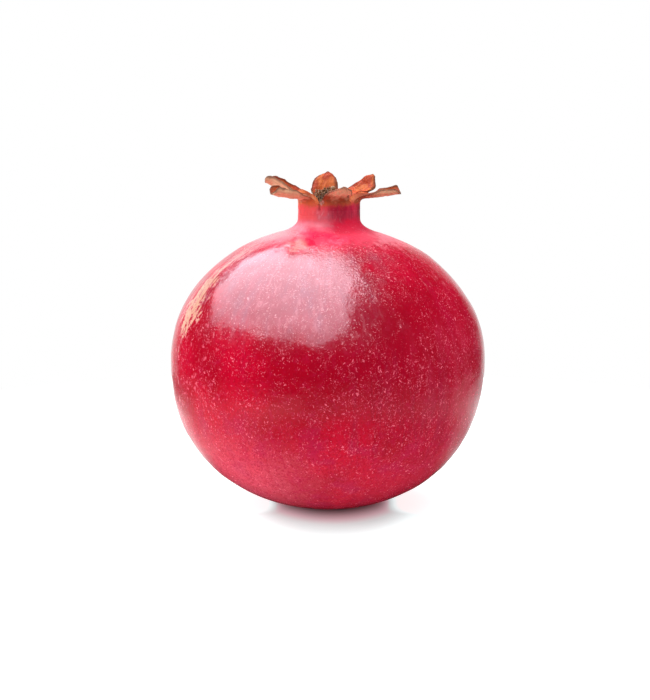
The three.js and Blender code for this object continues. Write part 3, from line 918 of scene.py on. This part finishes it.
def sepal_row(sepal, along, centre, sides):
    """The outer and the inner points of one row across a sepal."""
    _, across, inward = sepal_axes(sepal, along)
    half = sepal_half_width(sepal, along)
    curve = lerp(1 / NECK_RADIUS, 1 / sepal["curl"], smoothstep(along, 0, 0.6))
    grown = smoothstep(along, 0.08, 0.5)
    rolled = math.radians(sepal["roll"]) * grown
    angle = half * curve * sides + rolled * sides * np.abs(sides) ** 3
    between = (angle[1:] + angle[:-1]) / 2
    step = half * (sides[1] - sides[0])
    over = running_sum(np.cos(between), step)
    rise = running_sum(np.sin(between), step)
    drawn = sepal["skew"] * smoothstep(along, 0.3, 1)
    drawn += sepal["bow"] * math.sin(math.pi * smoothstep(along, 0.1, 1))

    outer, inner = [], []
    for k, side in enumerate(sides):
        normal = inward * math.cos(angle[k]) - across * math.sin(angle[k])
        place = centre + across * (over[k] + drawn) + inward * rise[k]
        wave = WAVE_HEIGHT * bumps((along * 4.2, side * 0.7, sepal["from"]), 1, 5) * side ** 2
        ridge = RIDGE_HEIGHT * math.cos(side * RIDGE_TURNS + sepal["from"]) * (1 - side ** 2)
        place += normal * (wave + ridge) * grown
        taper = lerp(1, max(1 - abs(side) ** 5, MARGIN_THINNESS) ** 0.5, grown)
        ending = lerp(1, TIP_THINNESS, smoothstep(along, 0.85, 1))
        thickness = lerp(WALL, SEPAL_THICKNESS * taper * ending, smoothstep(along, 0, 0.3))
        outer.append(place)
        inner.append(place + normal * thickness)
    return outer, inner


def crumpled(point, share):
    """Small folds of dry tissue, the same for two points in one place."""
    folds, grain = (
        Vector([bumps(point, size, CRUMPLE_SEED + first + k) for k in range(3)]) * height
        for first, (size, height) in ((0, CRUMPLE_FOLDS), (3, CRUMPLE_GRAIN))
    )
    return point + (folds + grain) * share


def sepal_faces(outer, inner):
    """A sepal's closed skin, from the index of each point on its two faces, row by row."""
    faces = []
    columns = range(SEPAL_COLUMNS)
    tip = len(outer) - 1
    for i in range(tip):
        for j in columns:
            faces.append((outer[i][j], outer[i][j + 1], outer[i + 1][j + 1], outer[i + 1][j]))
            faces.append((inner[i][j + 1], inner[i][j], inner[i + 1][j], inner[i + 1][j + 1]))
    for j in columns:
        faces.append((outer[0][j + 1], outer[0][j], inner[0][j], inner[0][j + 1]))
        faces.append((outer[tip][j], outer[tip][j + 1], inner[tip][j + 1], inner[tip][j]))
    for i in range(1, tip):
        faces.append((outer[i][0], outer[i + 1][0], inner[i + 1][0], inner[i][0]))
        faces.append((outer[i + 1][-1], outer[i][-1], inner[i][-1], inner[i + 1][-1]))
    return faces


def build_calyx(material):
    """The six sepals, which share their points where two meet at the rim."""
    sides = np.linspace(-1, 1, SEPAL_COLUMNS + 1)
    points, facts, faces = [], [], []
    known = {}

    def point_index(point, fact):
        key = tuple(round(c, 4) for c in point)
        if key not in known:
            known[key] = len(points)
            points.append(Vector((point.x + NECK_SHIFT, point.y, point.z)))
            facts.append(fact)
        return known[key]

    for sepal in SEPALS:
        sheets = [[], []]
        centres = sepal_centres(sepal)
        # The first row is the root's again, set down on the seam.
        for row in range(SEPAL_ROWS + 2):
            along = max(row - 1, 0) / SEPAL_ROWS
            pair = sepal_row(sepal, along, centres[max(row - 1, 0)], sides)
            for sheet, places in enumerate(pair):
                made = []
                for side, place in zip(sides, places):
                    place = crumpled(place, smoothstep(along, 0.02, 0.3))
                    if row == 0:
                        place.z = SEAM_HEIGHT
                    made.append(point_index(place, (along, side, sheet, sepal["pale"])))
                sheets[sheet].append(made)
        faces.extend(sepal_faces(*sheets))

    piece = add_mesh("calyx_sepals", points, faces, "calyx", material, sharp=60)
    add_attribute(piece, "sepal", [fact[:3] for fact in facts])
    add_attribute(piece, "paleness_and_fill", [(fact[3], 0, 0) for fact in facts])
    return piece


# ---- the stamens

TUFT_RADIUS = 6.9
MAT_TOP = 92.2
MAT_SHOULDER = 90.4
MAT_SIDES = 48
FILAMENTS = 260
GOLDEN_ANGLE = math.radians(137.5)
FILAMENT_STEPS = 9
FILAMENT_SIDES = 5
FILAMENT_ROOT, FILAMENT_TIP = 0.17, 0.10
ANTHER_STEPS = 6
ANTHER_SIDES = 7
ANTHER_RADIUS = 0.23
ANTHER_FLATNESS = 0.55
ANTHER_CURL = 0.18
STYLE_SIDES = 10
TUFT_SEED = 20


class Tuft:
    """Collects the tuft's points, with a fact of three numbers on each, and its faces."""

    def __init__(self):
        self.points, self.facts, self.faces = [], [], []

    def ring(self, centre, axis, radius, sides, fact, flat):
        turn = Vector((0, 0, 1)).rotation_difference(axis)
        start = len(self.points)
        for angle in azimuths(sides):
            rim = Vector((math.cos(angle) * radius, math.sin(angle) * radius * flat, 0))
            self.points.append(centre + turn @ rim)
            self.facts.append(fact)
        return start

    def tube(self, path, radii, sides, facts, flat=1.0):
        starts = []
        for i, place in enumerate(path):
            axis = (path[min(i + 1, len(path) - 1)] - path[max(i - 1, 0)]).normalized()
            starts.append(self.ring(place, axis, radii[i], sides, facts[i], flat))
        self.faces.extend(ring_faces(starts, sides))


def add_mat(tuft):
    """The matted lower part: a lumpy plug on the cup's floor."""
    rings = [(TUFT_RADIUS - 1.3, CUP_FLOOR_HEIGHT), (TUFT_RADIUS - 0.5, CUP_FLOOR_HEIGHT + 1.4)]
    rings += [(TUFT_RADIUS - 0.4, MAT_SHOULDER - 1.5), (TUFT_RADIUS - 0.4, MAT_SHOULDER)]
    rings += [(r, lerp(MAT_TOP, MAT_SHOULDER, (r / TUFT_RADIUS) ** 2)) for r in (5.6, 4.6, 3.4, 2.2, 1.0)]
    starts = []
    for radius, height in rings:
        starts.append(len(tuft.points))
        for angle in azimuths(MAT_SIDES):
            place = spoke(radius, angle, height)
            if height > MAT_SHOULDER:
                place.z += 0.5 * bumps(place, 0.9, 2)
            tuft.points.append(place)
            tuft.facts.append((0, 0, 0.5))
    tuft.faces.extend(ring_faces(starts, MAT_SIDES))


def kept_inside(place, radius):
    """The place, or the nearest one that isn't outside the radius."""
    out = math.hypot(place.x, place.y)
    if out > radius:
        place.xy = place.xy * (radius / out)
    return place


def add_filament(tuft, order, rng):
    """A thin, wandering thread with its dried anther at the end."""
    azimuth = order * GOLDEN_ANGLE
    radius = (TUFT_RADIUS - 1.0) * math.sqrt((order + 0.5) / FILAMENTS)
    top = TUFT_TOP - 0.6 - 3.2 * rng.random() - 1.4 * (radius / TUFT_RADIUS) ** 2
    swirl = rng.uniform(-1.1, 1.1)
    draw = rng.uniform(-0.05, 0.55)
    wander = rng.uniform(0.2, 0.6)
    phase = rng.uniform(0, 2 * math.pi)
    pick = rng.random()
    path, radii, facts = [], [], []
    for i in range(FILAMENT_STEPS + 1):
        share = i / FILAMENT_STEPS
        heading = azimuth + swirl * share ** 2 / max(radius / 3, 0.6)
        place = spoke(radius * (1 - draw * share ** 2), heading)
        place.x += wander * math.sin(5 * share + phase) * share
        place.y += wander * math.cos(4 * share + phase) * share
        if place.length > TUFT_RADIUS - 0.45:
            place *= (TUFT_RADIUS - 0.45) / place.length
        place.z = lerp(MAT_SHOULDER - 0.2, top, share)
        path.append(place)
        radii.append(lerp(FILAMENT_ROOT, FILAMENT_TIP, share))
        facts.append((0, max(share * 1.2 - 0.2, 0), pick))
    tuft.tube(path, radii, FILAMENT_SIDES, facts)
    add_anther(tuft, path[-1], (path[-1] - path[-2]).normalized(), pick, rng)


def add_anther(tuft, end, axis, pick, rng):
    """A bent, flattened grain on the end of a filament, turned off its axis."""
    axis = (axis + Vector((rng.uniform(-1, 1), rng.uniform(-1, 1), rng.uniform(-0.5, 0.4)))).normalized()
    curl = Vector((rng.uniform(-1, 1), rng.uniform(-1, 1), rng.uniform(-1, 1))) * ANTHER_CURL
    length = rng.uniform(0.6, 1.1)
    path, radii = [], []
    for i in range(ANTHER_STEPS + 1):
        share = i / ANTHER_STEPS
        place = end + axis * length * (share - 0.35) + curl * math.sin(math.pi * share)
        path.append(kept_inside(place, TUFT_RADIUS - 0.35))
        radii.append(ANTHER_RADIUS * math.sin(math.pi * (0.08 + 0.84 * share)) ** 0.5)
    tuft.tube(path, radii, ANTHER_SIDES, [(1, 1, pick)] * len(path), ANTHER_FLATNESS)


def add_style(tuft):
    """The style, with its knob."""
    lean = [0, 0.3, 0.9, 1.15, 1.2, 1.15, 1.1]
    heights = [MAT_SHOULDER - 1, 91.5, 94.5, TUFT_TOP - 1.5, TUFT_TOP - 1.0, TUFT_TOP - 0.5, TUFT_TOP]
    radii = [0.6, 0.5, 0.42, 0.45, 0.75, 0.8, 0.35]
    path = [Vector((x, -x / 2, height)) for x, height in zip(lean, heights)]
    tuft.tube(path, radii, STYLE_SIDES, [(0.6, 1, 0.2)] * len(path))


def build_stamens(material):
    rng = random.Random(TUFT_SEED)
    tuft = Tuft()
    add_mat(tuft)
    for order in range(FILAMENTS):
        add_filament(tuft, order, rng)
    add_style(tuft)
    points = [Vector((p.x + NECK_SHIFT, p.y, p.z)) for p in tuft.points]
    piece = add_mesh("stamen_tuft", points, tuft.faces, "stamens", material, sharp=70)
    add_attribute(piece, "tuft", tuft.facts)
    return piece


# ---- the stem

STUB_SIDES = 72
# The radius and the height above the cut of each ring.
STUB_RINGS = [(0.12, 0), (0.9, 0), (1.7, 0), (2.15, 0.02), (2.45, 0.15), (2.62, 0.4), (2.66, 0.9),
              (2.66, 1.6), (2.6, 2.4), (2.62, 3.1), (2.6, SOCKET_TOP - STUB_BOTTOM)]
FLUTES = 5
FLUTE_DEPTH = 0.04


def build_stub(material):
    """A clipped twig, ridged along its bark, with a slightly torn cut."""
    points, starts = [], []
    for radius, rise in STUB_RINGS:
        starts.append(len(points))
        for angle in azimuths(STUB_SIDES):
            reach = radius * (1 - FLUTE_DEPTH + FLUTE_DEPTH * math.cos(FLUTES * angle))
            place = spoke(reach, angle, STUB_BOTTOM + rise)
            ridge = bumps((math.cos(angle) * 5, math.sin(angle) * 5, rise * 0.5), 1, 4)
            if radius > 2:
                place.xy = place.xy * (1 + 0.02 * ridge)
            elif rise == 0:
                place.z += 0.05 * bumps(place, 0.5, 6)
            points.append(place)
    faces = ring_faces(starts, STUB_SIDES)
    return add_mesh("stem_cut", points, faces, "stem_stub", material)


# ---- studio

FOCAL_LENGTH = 85
SENSOR = 36
CAMERA_DISTANCE = 506 * MM
CAMERA_ELEVATION = math.radians(9)
IMAGE_WIDTH, IMAGE_HEIGHT = 650, 700
# Where the middle of the body stands in the picture, in its pixels.
BODY_MIDDLE = (328, 358)


def add_camera():
    data = bpy.data.cameras.new("camera")
    data.lens = FOCAL_LENGTH
    data.sensor_width = SENSOR
    data.sensor_fit = "AUTO"
    data.shift_x = (IMAGE_WIDTH / 2 - BODY_MIDDLE[0]) / IMAGE_HEIGHT
    data.shift_y = (BODY_MIDDLE[1] - IMAGE_HEIGHT / 2) / IMAGE_HEIGHT
    data.clip_start = 0.01
    data.clip_end = 100
    camera = add_object("camera", data)
    back = Vector((0, -math.cos(CAMERA_ELEVATION), math.sin(CAMERA_ELEVATION)))
    camera.location = Vector((0, 0, EQUATOR_HEIGHT * MM)) + back * CAMERA_DISTANCE
    camera.rotation_euler = (-back).to_track_quat("-Z", "Y").to_euler()
    bpy.context.scene.camera = camera


def add_light(name, place, target, size, radiance, turn=0.0, spread=180, colour=(1, 1, 1), **seen):
    """A rectangular softbox. radiance is what a mirror of its middle would show."""
    data = bpy.data.lights.new(name, "AREA")
    data.shape = "RECTANGLE"
    data.size, data.size_y = size
    data.energy = radiance * math.pi * size[0] * size[1]
    data.spread = math.radians(spread)
    data.color = colour
    light = add_object(name, data)
    light.location = place
    aim = (Vector(target) - Vector(place)).to_track_quat("-Z", "Y")
    light.rotation_euler = (aim.to_matrix() @ Matrix.Rotation(turn, 3, "Z")).to_euler()
    for kind, shown in seen.items():
        setattr(light, "visible_" + kind, shown)
    return data


def cut_corner(light, slant, reach, softness):
    """Masks a corner of a softbox off, beyond a slanting line across its face."""
    light.use_nodes = True
    lamp = Nodes(light.node_tree)
    across, along, _ = lamp.node("ShaderNodeNewGeometry", {}, "Parametric").split()
    side = across * (2 * slant[0]) + along * (2 * slant[1]) - (slant[0] + slant[1])
    strength = side.smooth(reach - softness, reach + softness, 1, 0)
    lamp.feed(lamp.tree.nodes["Emission"].inputs["Strength"], strength)


# The radius is in metres. The limits below are distances in millimetres, from the middle of the
# foot unless a comment says otherwise. A third and a fourth number are what goes from the one
# to the other between them.
TABLE_RADIUS = 0.24
TABLE_SIDES = 128
TABLE_PALE = (0.50, 0.54)
TABLE_SHADE = 0.12
TABLE_FADE = (85, 190)
# Painted shade: in gloss the table's near part is dark.
MIRROR_FADE = (140, 75, 0, 1)
MIRROR_SHADE = 0.06
# It glows as if it were lit from below. The glow on matt surfaces comes in two steps, and is
# stronger to the left, along x.
NEAR_GLOW = (5, 32, 0, 0.64)
FAR_GLOW = (60, 190, 0, 0.5)
FAR_SHARE = 0.35
LEFT_GLOW = (5, -45, 1, 1.3)
# In gloss the glow lies behind, along y, and to the left, along x, where it grows and ends.
GLOSS_GLOW = (38, 60, 0, 0.5)
BACK_REACH = (-15, 25)
LEFT_REACH = (-25, -60, 0, 0.7)
LEFT_GAIN = (-30, -60, 1, 1.8)
LEFT_END = (-125, -80)
# The camera sees round the contact a painted contact shadow, a dark spot in the glow shaped like a lens,
# and a faint wider edge. The distance is from a line across the spot, and grows towards its ends.
SPOT_MIDDLE = 1.4
SPOT_SOFT = 6
SPOT_BEND = 0.04
SPOT_REACH = 20
SPOT_END_POWER = 12
SPOT_END = (-16, -4, 0, 45)
EDGE_BEND = 0.03
SPOT_GLOW = (9.5, 33.5, 0, 0.52)
EDGE_GLOW = (33, 62, 0, 0.3)
# The painted bounce and cool tints round the painted shadow, and where each lies.
BOUNCE_PINK, PINK_BAND = (1.15, 0.84, 0.94), (8, 14, 22, 32)
EDGE_COOL, COOL_BAND = (0.82, 1, 1), (22, 32, 50, 70)


def cast_glow(x, far):
    """The glow that lights matt surfaces."""
    cast = far.smooth(*NEAR_GLOW) + far.smooth(*FAR_GLOW) * FAR_SHARE
    return cast * x.smooth(*LEFT_GLOW)


def gloss_glow(x, y, far):
    """The glow that gloss shows."""
    behind = y.smooth(*BACK_REACH).larger(x.smooth(*LEFT_REACH)) * far.smooth(*GLOSS_GLOW)
    return behind * x.smooth(*LEFT_GAIN) * x.smooth(*LEFT_END)


def seen_glow(sh, x, y, far):
    """The glow that the camera sees, with a painted contact shadow in it, and its tint."""
    side = x - SPOT_MIDDLE
    square = side * side
    spot = (y * y + SPOT_SOFT ** 2).math("SQRT") + square * SPOT_BEND
    end = (side * (1 / SPOT_REACH)).away().math("POWER", SPOT_END_POWER)
    spot += end * y.smooth(*SPOT_END)
    edge = spot + square * EDGE_BEND
    seen = spot.smooth(*SPOT_GLOW) + edge.smooth(*EDGE_GLOW) + far.smooth(*FAR_GLOW)
    tint = sh.mix(spot.band(*PINK_BAND), (1, 1, 1), BOUNCE_PINK)
    return seen, sh.mix(spot.band(*COOL_BAND), tint, EDGE_COOL)


def table_material():
    """Pale, darker far out, and darker near the fruit in gloss as painted shade, with a glow that melts
    into the white behind it.
    """
    low, high = TABLE_PALE
    sh = Shader("table_white", (low,) * 3)
    where = sh.place()
    x, y, _ = where.split()
    far = where.length()
    sh.lay((high,) * 3, sh.noise(where, 90))
    sh.lay((TABLE_SHADE,) * 3, far.smooth(*TABLE_FADE))
    sh.lay((MIRROR_SHADE,) * 3, sh.ray("Is Glossy Ray"), far.smooth(*MIRROR_FADE))
    seen, tint = seen_glow(sh, x, y, far)
    glow = sh.mix(sh.ray("Is Camera Ray"), cast_glow(x, far), seen)
    glow = sh.mix(sh.ray("Is Glossy Ray"), glow, gloss_glow(x, y, far))
    sh.surface.inputs["Roughness"].default_value = 0.9
    sh.surface.inputs["Specular IOR Level"].default_value = 0
    sh.join({"Base Color": sh.colour, "Emission Color": tint, "Emission Strength": glow})
    sh.material.cycles.emission_sampling = "NONE"
    return sh.material


def add_floor():
    """A small round pale table that melts into the white behind it."""
    mesh = bpy.data.meshes.new("table_top")
    rim = [spoke(TABLE_RADIUS, angle) for angle in azimuths(TABLE_SIDES)]
    mesh.from_pydata(rim, [], [tuple(range(TABLE_SIDES))])
    mesh.materials.append(table_material())
    floor = add_object("table_top", mesh)


# How strongly the room lights matt surfaces from the horizon and from overhead, and how bright
# gloss shows its near part and its far wall, which starts where a direction points away so far.
AMBIENT_LOW, AMBIENT_HIGH = 0.32, 0.9
ROOM_DARK = 0.03
BACK_WALL = 0.9
WALL_EDGES = (0.76, 0.92)


def add_world():
    """White for the camera, a soft fill, and in gloss a dark room with a white far wall."""
    world = bpy.data.worlds.new("studio")
    world.use_nodes = True
    world.cycles.sampling_method = "NONE"
    room = Nodes(world.node_tree)
    room.tree.nodes.clear()
    _, northward, upward = room.node("ShaderNodeTexCoord", {}, "Generated").split()

    def glow(strength):
        return room.node("ShaderNodeBackground", {"Color": (1, 1, 1), "Strength": strength})

    fill = glow(upward.smooth(0.0, 1.0, AMBIENT_LOW, AMBIENT_HIGH))
    mirrored = glow(northward.smooth(*WALL_EDGES, ROOM_DARK, BACK_WALL))
    unseen = room.node("ShaderNodeMixShader", {0: room.ray("Is Glossy Ray"), 1: fill, 2: mirrored})
    shown = room.node("ShaderNodeMixShader", {0: room.ray("Is Camera Ray"), 1: unseen, 2: glow(1.0)})
    room.node("ShaderNodeOutputWorld", {"Surface": shown})
    bpy.context.scene.world = world


# The key hangs over the fruit's left, its long side running back. Its gleam on the skin and its
# light on matt surfaces are two lights. Places and sizes are in metres.
KEY_TURN = math.radians(35)
KEY_HEIGHT = 1.07
GLEAM_PLACE = (-0.78, -0.19)
KEY_PLACE = (-0.3, 0.0)


def build_studio():
    add_camera()
    add_floor()
    add_world()
    gleam = add_light("key_gleam", (*GLEAM_PLACE, KEY_HEIGHT), (*GLEAM_PLACE, 0), size=(1.93, 3.1),
                      radiance=9.0, turn=KEY_TURN, spread=138, colour=(1, 0.955, 1.09), diffuse=False)
    cut_corner(gleam, slant=(0.65, -0.76), reach=0.84, softness=0.06)
    add_light("key_soft", (*KEY_PLACE, KEY_HEIGHT), (*KEY_PLACE, 0), size=(1.8, 1.8), radiance=3.4,
              turn=KEY_TURN, glossy=False)
    add_light("left_soft", (-1.0, 0.1, 0.35), (0, 0, 0.05), size=(0.8, 0.8), radiance=2.8,
              glossy=False)


def main():
    build_studio()
    build_rind(skin_material())
    build_calyx(sepal_material())
    build_stamens(stamen_material())
    build_stub(stub_material())
    bpy.context.scene.view_settings.view_transform = "Standard"


main()
